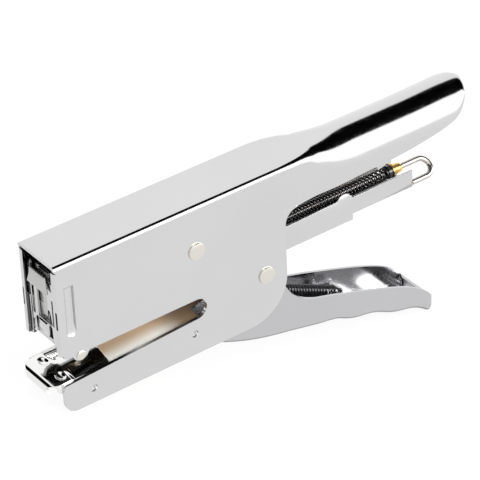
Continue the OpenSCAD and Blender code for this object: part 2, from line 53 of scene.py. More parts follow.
# ------------------------------------------------------------------ frame
# Shapes are drawn in the body's level frame, in millimetres: X from the front
# edge of the cheeks, Z from the jaw's lower edge. place() stands them up.
along = Vector(joints["feeder_slide"]["axis"]).normalized()
tilt = math.atan2(along.z, along.x)
pivot = Vector(joints["handle_hinge"]["pos_m"])
HINGE_X, HINGE_Z = 77.5, 17.6
LEVER_X, LEVER_Z = 51.2, 38.3
cos_t, sin_t = math.cos(tilt), math.sin(tilt)


def place(x, y, z):
    """A point of the level frame, in millimetres, where the tool stands, in metres."""
    dx, dz = (x - HINGE_X) / 1000, (z - HINGE_Z) / 1000
    return Vector((pivot.x + dx * cos_t - dz * sin_t, y / 1000, pivot.z + dx * sin_t + dz * cos_t))


def turn(x, y, z):
    """A direction of the level frame, tilted with the tool."""
    return Vector((x * cos_t - z * sin_t, y, x * sin_t + z * cos_t))


# -------------------------------------------------------------- materials
def steel(name, color, rough=0.14, grain=0.03, bump=0.02, scale=900, metallic=1.0, smudge=0.04):
    m = bpy.data.materials.new(name)
    m.use_nodes = True
    n, l = m.node_tree.nodes, m.node_tree.links
    b = n["Principled BSDF"]
    b.inputs["Metallic"].default_value = metallic
    tc = n.new("ShaderNodeTexCoord")
    mp = n.new("ShaderNodeMapping")
    mp.inputs["Scale"].default_value = (0.35, 1, 1)
    l.new(tc.outputs["Object"], mp.inputs["Vector"])
    fine = n.new("ShaderNodeTexNoise")
    fine.inputs["Scale"].default_value = scale
    fine.inputs["Detail"].default_value = 3
    l.new(mp.outputs["Vector"], fine.inputs["Vector"])
    wide = n.new("ShaderNodeTexNoise")
    wide.inputs["Scale"].default_value = 26
    wide.inputs["Detail"].default_value = 2
    l.new(tc.outputs["Object"], wide.inputs["Vector"])
    mix = n.new("ShaderNodeMix")
    mix.data_type = "RGBA"
    low = [max(0, c * (1 - smudge)) for c in color] + [1]
    high = [min(1, c * (1 + smudge)) for c in color] + [1]
    mix.inputs["A"].default_value = low
    mix.inputs["B"].default_value = high
    l.new(wide.outputs["Fac"], mix.inputs["Factor"])
    l.new(mix.outputs["Result"], b.inputs["Base Color"])
    mr = n.new("ShaderNodeMapRange")
    mr.inputs["From Min"].default_value = 0.3
    mr.inputs["From Max"].default_value = 0.7
    mr.inputs["To Min"].default_value = max(0.02, rough - grain)
    mr.inputs["To Max"].default_value = rough + grain
    l.new(fine.outputs["Fac"], mr.inputs["Value"])
    l.new(mr.outputs["Result"], b.inputs["Roughness"])
    bp = n.new("ShaderNodeBump")
    bp.inputs["Strength"].default_value = bump
    bp.inputs["Distance"].default_value = 0.0002
    l.new(fine.outputs["Fac"], bp.inputs["Height"])
    l.new(bp.outputs["Normal"], b.inputs["Normal"])
    return m


MAT = {
    "cheek_steel": steel("cheek_chrome", (0.63, 0.63, 0.63), 0.12),
    "anvil_steel": steel("anvil_chrome", (0.80, 0.80, 0.79), 0.08),
    "liner_steel": steel("liner_warm", (1.0, 0.96, 0.90), 0.38, metallic=0.1, smudge=0.04),
    "rivet_steel": steel("rivet_cream", (0.70, 0.67, 0.61), 0.20),
    "handle_steel": steel("handle_chrome", (0.52, 0.52, 0.53), 0.15),
    "inner_steel": steel("inner_steel", (0.50, 0.50, 0.49), 0.28, bump=0.06),
    "magazine_steel": steel("magazine_chrome", (0.61, 0.61, 0.61), 0.13),
    "staple_wire": steel("staple_zinc", (0.70, 0.70, 0.69), 0.25),
    "rod_wire": steel("rod_chrome", (0.58, 0.54, 0.50), 0.14),
    "black_spring": steel("blackened_steel", (0.085, 0.085, 0.09), 0.15, metallic=0.9),
    "ferrule_brass": steel("ferrule_brass", (0.80, 0.50, 0.15), 0.17),
}


def fade(tree, value, lo, hi, kind="LINEAR"):
    """A factor that runs from 0 at lo to 1 at hi."""
    mr = tree.nodes.new("ShaderNodeMapRange")
    mr.interpolation_type = kind
    mr.inputs["From Min"].default_value = lo
    mr.inputs["From Max"].default_value = hi
    tree.links.new(value, mr.inputs["Value"])
    return mr.outputs["Result"]


def times(tree, a, b):
    mul = tree.nodes.new("ShaderNodeMath")
    mul.operation = "MULTIPLY"
    tree.links.new(a, mul.inputs[0])
    tree.links.new(b, mul.inputs[1])
    return mul.outputs[0]


def layer(tree, factor, below, color):
    """The colour below where the factor is 0, and the given colour where it is 1."""
    mix = tree.nodes.new("ShaderNodeMix")
    mix.data_type = "RGBA"
    mix.inputs["B"].default_value = color
    tree.links.new(factor, mix.inputs["Factor"])
    tree.links.new(below, mix.inputs["A"])
    return mix.outputs["Result"]


def component(tree, output, axis):
    """One axis of a texture coordinate: Object is a place, Normal a direction."""
    tc = tree.nodes.new("ShaderNodeTexCoord")
    sep = tree.nodes.new("ShaderNodeSeparateXYZ")
    tree.links.new(tc.outputs[output], sep.inputs[0])
    return sep.outputs[axis]


def tint(m, factor, color):
    """Lays a colour over the material's own one where the factor is 1."""
    base = m.node_tree.nodes["Principled BSDF"].inputs["Base Color"]
    over = layer(m.node_tree, factor, base.links[0].from_socket, color)
    m.node_tree.links.new(over, base)


def paint_liner_reflection_shade(m):
    """Painted reflection and shade on the liner: cream along the near edge, tan across, and painted shade in brown
    towards the throat's end.
    """
    tree = m.node_tree
    for axis, lo, hi, color in (
        # painted reflection: tan across the liner, away from its cream near edge
        ("Y", -0.0072, -0.0005, (0.74, 0.52, 0.32, 1)),
        # painted shade: brown towards the throat's end
        ("X", -0.0370, -0.0250, (0.26, 0.17, 0.10, 1)),
    ):
        tint(m, fade(tree, component(tree, "Object", axis), lo, hi, "SMOOTHSTEP"), color)


def paint_underside_shade(m, color):
    """Painted shade: the magazine's down-facing underside inside the throat is coloured near black, so the anvil
    below mirrors it dark.
    """
    tree = m.node_tree
    down = fade(tree, component(tree, "Normal", "Z"), -0.90, -0.95)
    ahead = fade(tree, component(tree, "Object", "X"), -0.040, -0.047)
    tint(m, times(tree, down, ahead), color)


def paint_inner_face_shade(m, color):
    """Painted shade: inner faces, which look back at the middle plane, are coloured darker than outer ones."""
    tree = m.node_tree
    outward = times(tree, component(tree, "Object", "Y"), component(tree, "Normal", "Y"))
    tint(m, fade(tree, outward, -0.003, -0.005), color)


def paint_shade_on_undersides(m, lo, hi, color):
    """Painted shade: faces that turn under are coloured darker."""
    tree = m.node_tree
    tint(m, fade(tree, component(tree, "Normal", "Z"), lo, hi), color)


paint_liner_reflection_shade(MAT["liner_steel"])
# painted shade under the magazine, near black
paint_underside_shade(MAT["magazine_steel"], (0.015, 0.015, 0.015, 1))
# painted shade on the cheeks' inner faces
paint_inner_face_shade(MAT["cheek_steel"], (0.16, 0.16, 0.16, 1))
# painted shade on the cheeks' and the handle's downward faces
paint_shade_on_undersides(MAT["cheek_steel"], -0.15, -0.7, (0.30, 0.30, 0.30, 1))
paint_shade_on_undersides(MAT["handle_steel"], -0.05, -0.6, (0.14, 0.14, 0.145, 1))
SLOT = {s["node"]: s["material_slot"] for s in record["subparts"]}
BODY = {n: b for b, ns in record["behaviour"]["bodies"].items() for n in ns}


# ---------------------------------------------------------------- helpers
made = set()


def mesh_piece(name, verts, faces, node, angle=35):
    """A piece made of points in the level frame, standing for a CAD node."""
    me = bpy.data.meshes.new(name)
    me.from_pydata([place(*v) for v in verts], [], faces)
    return settle(name, me, node, angle)


def settle(name, me, node, angle=35):
    """Cleans a mesh and makes it a piece with its node's material."""
    bm = bmesh.new()
    bm.from_mesh(me)
    bmesh.ops.remove_doubles(bm, verts=bm.verts, dist=2e-6)
    bmesh.ops.recalc_face_normals(bm, faces=bm.faces)
    bm.to_mesh(me)
    bm.free()
    me.materials.clear()
    me.materials.append(MAT[SLOT[node]])
    me.shade_smooth()
    me.set_sharp_from_angle(angle=math.radians(angle))
    ob = bpy.data.objects.new(name, me)
    bpy.context.scene.collection.objects.link(ob)
    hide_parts(node)
    made.add(node)
    return ob


def bake(ob, angle):
    """Applies the modifiers, so that the mesh is final."""
    dg = bpy.context.evaluated_depsgraph_get()
    me = bpy.data.meshes.new_from_object(ob.evaluated_get(dg))
    ob.modifiers.clear()
    ob.data = me
    me.shade_smooth()
    me.set_sharp_from_angle(angle=math.radians(angle))


def add_bevel(ob, width, segments, angle):
    b = ob.modifiers.new("edge", "BEVEL")
    b.width = width / 1000
    b.segments = segments
    b.limit_method = "ANGLE"
    b.angle_limit = math.radians(angle)
    b.use_clamp_overlap = True
    b.harden_normals = False
    b.miter_outer = "MITER_ARC"


def add_shell(ob, thick):
    s = ob.modifiers.new("sheet", "SOLIDIFY")
    s.thickness = thick / 1000
    s.offset = -1
    s.use_even_offset = True
    s.use_quality_normals = True


def finish(ob, node, width, segments, edge_angle, sharp):
    """Rounds the edges, keeps the flats flat and lets the piece ride its node's body."""
    if width:
        add_bevel(ob, width, segments, edge_angle)
    w = ob.modifiers.new("normals", "WEIGHTED_NORMAL")
    w.keep_sharp = True
    w.weight = 60
    bake(ob, sharp)
    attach(ob, BODY[node])


def soften(node, width=0.12, segments=2, angle=30, shape=None):
    """The CAD node's own shape with its edges rounded over."""
    src = frame["nodes"][node]
    me = src.data.copy()
    bm = bmesh.new()
    bm.from_mesh(me)
    bmesh.ops.remove_doubles(bm, verts=bm.verts, dist=2e-6)
    bmesh.ops.dissolve_limit(bm, angle_limit=math.radians(0.6), verts=bm.verts, edges=bm.edges)
    if shape:
        shape(bm)
    bm.to_mesh(me)
    bm.free()
    ob = settle(node + "_finished", me, node, angle)
    finish(ob, node, width, segments, angle, 40)


def tube(path, radius, sides):
    """Verts and faces of a round wire along a path of level-frame points."""
    pts = [Vector(p) for p in path]
    tans = []
    for i in range(len(pts)):
        a, b = pts[max(0, i - 1)], pts[min(len(pts) - 1, i + 1)]
        tans.append((b - a).normalized())
    up = Vector((0, 0, 1))
    if abs(tans[0].dot(up)) > 0.9:
        up = Vector((0, 1, 0))
    u = (up - tans[0] * up.dot(tans[0])).normalized()
    verts, faces = [], []
    for i, p in enumerate(pts):
        if i:
            u = (u - tans[i] * u.dot(tans[i])).normalized()
        v = tans[i].cross(u)
        for k in range(sides):
            a = 2 * math.pi * k / sides
            verts.append(p + (u * math.cos(a) + v * math.sin(a)) * radius)
    n = len(pts)
    for i in range(n - 1):
        for k in range(sides):
            k2 = (k + 1) % sides
            a, b = i * sides, (i + 1) * sides
            faces.append((a + k, a + k2, b + k2, b + k))
    faces.append(tuple(range(sides))[::-1])
    faces.append(tuple((n - 1) * sides + k for k in range(sides)))
    return verts, faces


def helix(p0, p1, radius, pitch_at, steps):
    """Points of a coil from p0 to p1; pitch_at(u) gives the local pitch in mm."""
    a, b = Vector(p0), Vector(p1)
    length = (b - a).length
    t = (b - a).normalized()
    side = Vector((0, 1, 0))
    w = t.cross(side).normalized()
    pts, s, ang = [], 0.0, 0.0
    while s <= length:
        c = a + t * s
        pts.append(c + (side * math.cos(ang) + w * math.sin(ang)) * radius)
        ang += 2 * math.pi / steps
        s += pitch_at(s / length) / steps
    return pts


def lathe_y(cx, cz, profile, seg=56):
    """Two turned pieces about the Y line through (cx, cz), one on each side."""
    verts, faces = [], []
    m = len(profile)
    for s in (-1, 1):
        base = len(verts)
        for k in range(seg):
            a = 2 * math.pi * k / seg
            for r, y in profile:
                verts.append((cx + r * math.cos(a), s * y, cz + r * math.sin(a)))
        for k in range(seg):
            lo, hi = base + k * m, base + (k + 1) % seg * m
            for i in range(m - 1):
                faces.append((lo + i, lo + i + 1, hi + i + 1, hi + i))
    return verts, faces


def lathe_x(y0, z0, profile, seg=40):
    """Verts and faces of a turned piece about the X line through (y0, z0)."""
    verts, faces = [], []
    m = len(profile)
    for k in range(seg):
        a = 2 * math.pi * k / seg
        for x, r in profile:
            verts.append((x, y0 + r * math.cos(a), z0 + r * math.sin(a)))
    for k in range(seg):
        k2 = (k + 1) % seg
        for i in range(m - 1):
            faces.append((k * m + i, k * m + i + 1, k2 * m + i + 1, k2 * m + i))
    return verts, faces


def smoothstep(a, b, x):
    t = max(0.0, min(1.0, (x - a) / (b - a)))
    return t * t * (3 - 2 * t)


def ramp(x, x0, length):
    return min(1.0, max(0.0, (x - x0) / length))


def arc(cx, cz, r, a0, a1, n):
    """Points on a circle from angle a0 to a1, in degrees."""
    return [
        (cx + r * math.cos(math.radians(a0 + (a1 - a0) * i / n)),
         cz + r * math.sin(math.radians(a0 + (a1 - a0) * i / n)))
        for i in range(n + 1)
    ]


def inside(p, ring):
    """Whether a point lies inside a closed outline."""
    hit = False
    for (ax, az), (bx, bz) in zip(ring, ring[1:] + ring[:1]):
        if (az > p[1]) != (bz > p[1]) and p[0] < ax + (p[1] - az) * (bx - ax) / (bz - az):
            hit = not hit
    return hit


def flat_fill(bm, spot, outline, holes):
    """Fills a flat outline with holes; spot() puts a 2D point into space."""
    pts, edges = [], []
    for ring in [outline] + holes:
        base, n = len(pts), len(ring)
        pts += [Vector(p) for p in ring]
        edges += [(base + i, base + (i + 1) % n) for i in range(n)]
    co, _, tris, *_ = delaunay_2d_cdt(pts, edges, [], 0, 1e-4)
    made = {}
    for t in tris:
        c = (sum(co[i].x for i in t) / 3, sum(co[i].y for i in t) / 3)
        if not inside(c, outline) or any(inside(c, h) for h in holes):
            continue
        for i in t:
            if i not in made:
                made[i] = bm.verts.new(spot(co[i].x, co[i].y))
        bm.faces.new([made[i] for i in t])


def prism(name, node, outline, holes, axis, a, b, edge=0.12):
    """A plate cut to an outline: (x, z) points for axis Y, (y, z) points for axis X."""
    bm = bmesh.new()

    def spot(t):
        if axis == "Y":
            return lambda u, v: place(u, t, v)
        return lambda u, v: place(t, u, v)

    for t in (a, b):
        flat_fill(bm, spot(t), outline, holes)
    for ring in [outline] + holes:
        va = [bm.verts.new(spot(a)(*p)) for p in ring]
        vb = [bm.verts.new(spot(b)(*p)) for p in ring]
        for i in range(len(ring)):
            j = (i + 1) % len(ring)
            bm.faces.new((va[i], va[j], vb[j], vb[i]))
    bmesh.ops.remove_doubles(bm, verts=bm.verts, dist=4e-6)
    bmesh.ops.dissolve_limit(bm, angle_limit=math.radians(0.5), verts=bm.verts, edges=bm.edges)
    me = bpy.data.meshes.new(name)
    bm.to_mesh(me)
    bm.free()
    ob = settle(name, me, node, 35)
    finish(ob, node, edge, 2, 35, 40)
    return ob


def raised(name, node, rings, edge):
    """A pressed boss: rings of (x, outline in y and z), the last one closed."""
    verts, faces = [], []
    n = len(rings[0][1])
    for x, ring in rings:
        verts += [(x, y, z) for y, z in ring]
    for j in range(len(rings) - 1):
        for i in range(n):
            k = (i + 1) % n
            faces.append((j * n + i, j * n + k, (j + 1) * n + k, (j + 1) * n + i))
    faces.append(tuple((len(rings) - 1) * n + i for i in range(n)))
    faces.append(tuple(range(n))[::-1])
    ob = mesh_piece(name, verts, faces, node, 35)
    finish(ob, node, edge, 2, 35, 40)


def ridden(name, shape, node, angle=60):
    """A piece from ready points and faces, riding its node's body."""
    verts, faces = shape
    ob = mesh_piece(name, verts, faces, node, angle)
    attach(ob, BODY[node])


# ------------------------------------------------------------- body shell
BODY_H, BODY_Y, BODY_T, BEND = 54.4, 9.8, 1.2, 1.5
HANDLE_L, GRIP_R, GRIP_EDGE, CHEEK_L = 164.5, 9.8, 38.0, 85.6
ROUND_X = HANDLE_L - GRIP_R
FLAT_END, GRIP_CORNER = 84.0, 5.0
FLAT_TOP = BODY_H - BEND - 0.12
EDGE_KNOTS = [
    (96, 38.0), (107, 38.7), (117, 39.3), (128, 39.7), (136, 40.3), (145, 41.5),
    (149, 42.2), (154, 43.6), (157.5, 45.5), (162, 49.2), (164.5, 50.8)
]
CORNER_KNOTS = [
    (84, 1.5), (93, 2.3), (97, 3.5), (99.5, 5.2), (102.6, 6.2), (109, 8.6), (115, 9.7), (170, 9.7)
]


def jaw_top(x):
    return 10.6 + 0.045 * x


def knots(pts, x):
    """A smooth line through the points."""
    if x <= pts[0][0]:
        return pts[0][1]
    if x >= pts[-1][0]:
        return pts[-1][1]
    n = len(pts)
    slope = [
        (pts[min(n - 1, i + 1)][1] - pts[max(0, i - 1)][1])
        / (pts[min(n - 1, i + 1)][0] - pts[max(0, i - 1)][0])
        for i in range(n)
    ]
    for i in range(n - 1):
        (x0, y0), (x1, y1) = pts[i], pts[i + 1]
        if x0 <= x <= x1:
            h = x1 - x0
            t = (x - x0) / h
            return (
                (2 * t ** 3 - 3 * t ** 2 + 1) * y0 + (t ** 3 - 2 * t ** 2 + t) * h * slope[i]
                + (3 * t ** 2 - 2 * t ** 3) * y1 + (t ** 3 - t ** 2) * h * slope[i + 1]
            )


def arch(x):
    """Half width, crown height and corner radius of the section at x."""
    waist = 0.9 * math.exp(-((x - 97.5) / 6.5) ** 2)
    w = BODY_Y - waist
    top = BODY_H - 0.9 * smoothstep(86, 110, x) + 0.35 * smoothstep(140, 157, x)
    return w, top, min(knots(CORNER_KNOTS, x), w - 0.05)


def section(x):
    """The sheet's outer line at station x, from the near lower edge over to the far one."""
    low = knots(EDGE_KNOTS, x)
    w, top, r = arch(min(x, ROUND_X))
    end = 1.0
    if x > ROUND_X:
        u = min(1.0, (x - ROUND_X) / GRIP_R)
        end = math.sqrt(max(0.0, 1 - u * u))
        top -= 1.5 * (1 - math.sqrt(max(0.0, 1 - u ** 7)))
    zc = max(top - r, low)
    rise = top - zc
    pts = [(-w, low), (-w, low + (zc - low) * 0.5), (-w, zc - 0.12 * min(1, (zc - low)))]
    for i in range(17):
        a = math.pi / 2 * i / 16
        pts.append((-(w - r) - r * math.cos(a), zc + rise * math.sin(a)))
    flat = w - r
    pts.append((-flat + min(0.12, flat * 0.3), top))
    pts.append((0, top))
    out = [(y * end, z) for y, z in pts]
    return out + [(-y, z) for y, z in out[-2::-1]]


def stations():
    """Where the sections stand: close together wherever the shape bends."""
    xs = [0.0, 20.0, 50.0, FLAT_END, 86.0]
    x = 87.0
    while x < 116:
        xs.append(x)
        x += 1.0
    while x < ROUND_X - 2:
        xs.append(x)
        x += 3.0
    xs.append(CHEEK_L + GRIP_CORNER)
    xs += [ROUND_X + GRIP_R * math.sin(math.radians(a)) for a in range(0, 91, 5)]
    return sorted(xs)


XS = stations()


def face(bm, vs):
    keep = []
    for v in vs:
        if not any((v.co - k.co).length < 1e-6 for k in keep):
            keep.append(v)
    if len(keep) > 2:
        bm.faces.new(keep)


def body_shell():
    """The folded sheet: bend, top plate and upper handle in one strip, and two cheeks."""
    bm = bmesh.new()
    rows = [[bm.verts.new(place(x, y, z)) for y, z in section(x)] for x in XS]
    for x, a, b in zip(XS, rows, rows[1:]):
        skip = 2 if x < FLAT_END else 0
        for i in range(skip, len(a) - 1 - skip):
            face(bm, (a[i], a[i + 1], b[i + 1], b[i]))
    for s in (-1, 1):
        cheek(bm, s)
    bmesh.ops.remove_doubles(bm, verts=bm.verts, dist=6e-6)
    bmesh.ops.recalc_face_normals(bm, faces=bm.faces)
    me = bpy.data.meshes.new("body_shell")
    bm.to_mesh(me)
    bm.free()
    ob = settle("body_shell", me, "frame", 35)
    add_shell(ob, BODY_T)
    finish(ob, "frame", 0.25, 3, 50, 45)


FOLD_X = 0.8
FOLD_Z = [52.3, 47, 38.0, 31.6, 21.9]
SLIT_ROW = 2
THROAT_TOP, THROAT_END = 20.4, 54.1
LOBE_X, LOBE_Z, LOBE_R, LOBE_FOOT = 7.1, 20.8, 2.9, 3.2
JAW_X, JAW_LIP, JAW_R, REAR_R = 0.2, 0.9, 4.6, 14.6
MARKS = [(10.8, 5.4), (49.1, 7.9)]


def cheek_line():
    """The flat cheek's outline, anticlockwise from its front top corner."""
    tr = (THROAT_TOP - jaw_top(THROAT_END)) / 2
    pts = [(0, FLAT_TOP)] + [(FOLD_X, z) for z in FOLD_Z]
    pts += [(FOLD_X + 0.3, 21.0), (FOLD_X + 1.0, THROAT_TOP), (LOBE_X - LOBE_FOOT, THROAT_TOP)]
    pts += arc(LOBE_X, LOBE_Z, LOBE_R, 197, 343, 14)
    pts += [(LOBE_X + LOBE_FOOT, THROAT_TOP)]
    pts += arc(THROAT_END - tr, THROAT_TOP - tr, tr, 90, -90, 18)
    pts += [(JAW_X + 1.0, jaw_top(JAW_X))]
    pts += arc(JAW_X + JAW_LIP, jaw_top(JAW_X) - JAW_LIP, JAW_LIP, 90, 180, 5)
    pts += arc(JAW_X + JAW_R, JAW_R, JAW_R, 180, 270, 12)
    pts += arc(CHEEK_L - REAR_R, REAR_R, REAR_R, 270, 360, 24)
    pts += [(CHEEK_L, GRIP_EDGE - GRIP_CORNER)]
    pts += arc(CHEEK_L + GRIP_CORNER, GRIP_EDGE - GRIP_CORNER, GRIP_CORNER, 180, 90, 10)
    corner = CHEEK_L + GRIP_CORNER - 0.1
    pts += [(x, GRIP_EDGE) for x in reversed(XS) if FLAT_END <= x < corner]
    zc = arch(FLAT_END)[1] - arch(FLAT_END)[2]
    pts += [(FLAT_END, GRIP_EDGE + (zc - GRIP_EDGE) * 0.5), (FLAT_END, zc - 0.12)]
    pts += [(x, FLAT_TOP) for x in reversed(XS) if 0 < x < FLAT_END]
    return pts


BEAD_X, BEAD_W, BEAD_LO, BEAD_HI = 4.55, 3.3, 27.7, 46.2


def bead_ring(inset, lift=0.0):
    """The pressed bead's outline: round below, nearly square above."""
    r = BEAD_W / 2 - inset
    lo, hi = BEAD_LO + BEAD_W / 2 + lift, BEAD_HI - inset
    c = 0.7
    pts = arc(BEAD_X, lo, r, 180, 360, 14)
    pts += arc(BEAD_X + r - c, hi - c, c, 0, 90, 4) + arc(BEAD_X - r + c, hi - c, c, 90, 180, 4)
    return pts


def cheek(bm, s):
    """One flat side with its bead, its stake marks and its folded front edge."""
    def loop(pts, depth=0.0):
        return [bm.verts.new(place(x, s * (BODY_Y - depth), z)) for x, z in pts]

    def rings(last, shapes):
        for pts, depth in shapes:
            nxt = loop(pts, depth)
            for i in range(len(nxt)):
                j = (i + 1) % len(nxt)
                bm.faces.new((last[i], last[j], nxt[j], nxt[i]))
            last = nxt
        bm.faces.new(last)

    mark_rings = [arc(x, z, 1.3, 0, 345, 23) for x, z in MARKS]
    flat_fill(bm, lambda x, z: place(x, s * BODY_Y, z), cheek_line(), mark_rings + [bead_ring(0)])
    steps = ((0.05, 0, 0.1), (0.1, 0.9, 0.45), (0.16, 2.2, 0.85), (0.3, 3.4, 1.05), (0.6, 4.0, 1.1))
    rings(loop(bead_ring(0)), [(bead_ring(inset, lift), depth) for inset, lift, depth in steps])
    bowl = ((1.22, 0.1), (1.15, 0.75), (0.7, 0.9), (0.25, 0.7))
    for ring, (x, z) in zip(mark_rings, MARKS):
        rings(loop(ring), [(arc(x, z, r, 0, 345, 23), depth) for r, depth in bowl])
    # the front edge folded inwards, with a short slit in the fold
    fold = [(FOLD_X, 0), (0.49, 0.06), (0.23, 0.23), (0.06, 0.49), (0, 0.8), (0, 1.3), (0, 1.8), (0, 2.2)]
    grid = [
        [bm.verts.new(place(x, s * (BODY_Y - d), z - 0.35 * k / 7 * (z == FOLD_Z[0])))
         for k, (x, d) in enumerate(fold)]
        for z in FOLD_Z
    ]
    for j, (a, b) in enumerate(zip(grid, grid[1:])):
        for i in range(len(a) - 1):
            if j == SLIT_ROW and i in (3, 4):
                continue
            bm.faces.new((a[i], a[i + 1], b[i + 1], b[i]))


# ------------------------------------------------------------ lower handle
TOE_X, TOE_Z, TAIL_X, TAIL_Z, TAIL_R = 61.0, -1.2, 145.6, -26.6, 1.95
TROUGH_Y, TROUGH_T = 8.5, 1.0


def grip_line(x):
    """The lower handle's underside: a sloping line with a hollow and finger bumps."""
    z = TOE_Z + (TAIL_Z - TAIL_R - TOE_Z) * (x - TOE_X) / (TAIL_X - TOE_X)
    z -= 1.25 * math.sin(math.pi * ramp(x, 56, 31))
    z += 2.1 * (ramp(x, 87, 20) - ramp(x, 131, TAIL_X - 131) ** 2)
    return z - 0.5 * ramp(x, 98, 12) * math.cos(2 * math.pi * (x - 113) / 18.5)


EDGE = [
    (66, 11.0), (77.5, 22.6), (83.5, 13.5), (86.4, 7.5), (88.4, 4.6), (90.9, 2.3), (94, 0.2),
    (97.8, -1.5), (105.3, -3.6)
]


def wall_top(x):
    """The trough wall's upper edge: past the rivet, then in one long curve to the tail."""
    x_end, z_end = EDGE[-1]
    if x <= x_end:
        for (a, za), (b, zb) in zip(EDGE, EDGE[1:]):
            if a <= x <= b:
                return za + (zb - za) * (x - a) / (b - a)
        return EDGE[0][1]
    u = min(1.0, (x - x_end) / (TAIL_X + TAIL_R - x_end))
    return z_end - 13.6 * u - 3.2 * u ** 4 - 3 * u ** 12


def lower_handle():
    """A sheet folded to a round-bottomed trough, with finger bumps and a scooped tail."""
    end = TAIL_X + TAIL_R
    xs = [TOE_X + 1.25 * i for i in range(65)]
    xs += [142.2, 143.2, 144.2, 145.2, 146, 146.6, 147.1, 147.4, end]
    rows = []
    for x in xs:
        u = max(0.0, min(1.0, (x - 141.4) / (end - 141.4)))
        w = TROUGH_Y - 1.3 * (1 - math.sqrt(max(0.0, 1 - u ** 4)))
        low = grip_line(min(x, TAIL_X)) - 0.35 * (1 - smoothstep(128, 141, x))
        if x > TAIL_X:
            low += TAIL_R * (1 - math.sqrt(max(0.0, 1 - ((x - TAIL_X) / TAIL_R) ** 2)))
        top = wall_top(x) if x > 66 else 2.5 + (x - TOE_X) * 1.7
        r = max(0.3, min(1.2, (top - low) * 0.4))
        pts = [(-w, top), (-w, top + (low + r - top) * 0.5)]
        pts += [(-w + r - r * math.cos(math.radians(a)), low + r - r * math.sin(math.radians(a)))
                for a in range(0, 91, 10)]
        pts += [(-(w - r) / 2, low), (0, low)]
        pts += [(-y, z) for y, z in pts[-2::-1]]
        rows.append([(x, y, z) for y, z in pts])
    m = len(rows[0])
    verts = [v for row in rows for v in row]
    faces = [
        (j * m + i, j * m + i + 1, (j + 1) * m + i + 1, (j + 1) * m + i)
        for j in range(len(rows) - 1) for i in range(m - 1)
    ]
    faces.append(tuple((len(rows) - 1) * m + i for i in range(m)))
    ob = mesh_piece("handle_trough", verts, faces, "lower_handle", 50)
    add_shell(ob, TROUGH_T)
    finish(ob, "lower_handle", 0.3, 3, 50, 50)
    # the two cam arms that stand up beside the rivet
    arm = arc(HINGE_X, HINGE_Z, 4.9, 190, 345, 14) + arc(HINGE_X + 4, HINGE_Z + 12.9, 3, -17, 163, 16)
    for s in (-1, 1):
        prism("cam_arm", "lower_handle", arm, [], "Y", s * TROUGH_Y, s * (TROUGH_Y - TROUGH_T), 0.1)


ROD_Z = 27.4


def wires():
    """The two springs, and the rod with its hook, collar and ferrule."""
    # return spring: two eyes and a closely wound black coil
    a, b = Vector((60.5, 0, 15)), Vector((113.1, 0, -10.3))
    coil_r, wire_r, front_eye, rear_eye = 1.85, 0.42, 1.1, 0.9
    t = (b - a).normalized()
    side = Vector((t.z, 0, -t.x))
    path = []
    for i in range(9):
        q = math.radians(60 + 30 * i)
        path.append(a + t * front_eye * math.cos(q) + side * front_eye * math.sin(q))
    path += [a + t * 2.4 + side * 0.3, a + t * 3.6 + Vector((0, 1.2, 0))]
    path += helix(a + t * 4.6, b - t * 2.2, coil_r, lambda u: 1.3, 14)
    path += [b - t * 1.6 + Vector((0, 0.8, 0)), b - t * 0.9 + side * 0.2]
    for i in range(1, 8):
        q = math.radians(30 * i)
        path.append(b - t * rear_eye * math.cos(q) + side * rear_eye * math.sin(q))
    v, f = tube(path, wire_r, 8)
    ob = mesh_piece("return_coil", v, f, "return_spring", 70)
    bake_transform(ob)
    # push spring round the rod
    x0, x1 = 40.9, 133.9

    def pitch(u):
        return 1.3 + 0.5 * smoothstep(0.84, 0.97, u)

    v, f = tube(helix((x0, 0, ROD_Z), (x1, 0, ROD_Z), 1.82, pitch, 13), 0.37, 7)
    ob = mesh_piece("push_coil", v, f, "pusher_spring", 70)
    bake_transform(ob)
    # the rod with its finger hook
    start, bend = 147.2, 3.2
    lean = math.radians(50)
    d = Vector((0, -math.sin(lean), -math.cos(lean)))
    base = Vector((start, 0, ROD_Z))
    path = [Vector((8.0, 0, ROD_Z)), Vector((80, 0, ROD_Z)), Vector((140, 0, ROD_Z)), base]
    for i in range(1, 19):
        q = math.radians(10 * i)
        path.append(base + Vector((bend * math.sin(q), 0, 0)) + d * (bend - bend * math.cos(q)))
    path += [Vector((144, 0, ROD_Z)) + d * 2 * bend, Vector((141.1, 0, ROD_Z)) + d * 2 * bend]
    ridden("feeder_wire", tube(path, 0.98, 18), "feeder_rod")
    ridden("end_collar", lathe_x(0, ROD_Z, [
        (134, 0.8), (134, 2.0), (134.25, 2.3), (135.35, 2.3), (135.6, 2.1), (135.6, 0.8)
    ]), "rod_collar", 35)
    ridden("brass_ferrule", lathe_x(0, ROD_Z, [
        (135.6, 0.8), (135.6, 2.2), (135.75, 2.6), (136.2, 2.6), (136.4, 2.4), (136.5, 1.75),
        (138.9, 1.72), (139.7, 1.5), (140.1, 1.15), (140.2, 0.85)
    ]), "rod_ferrule", 35)


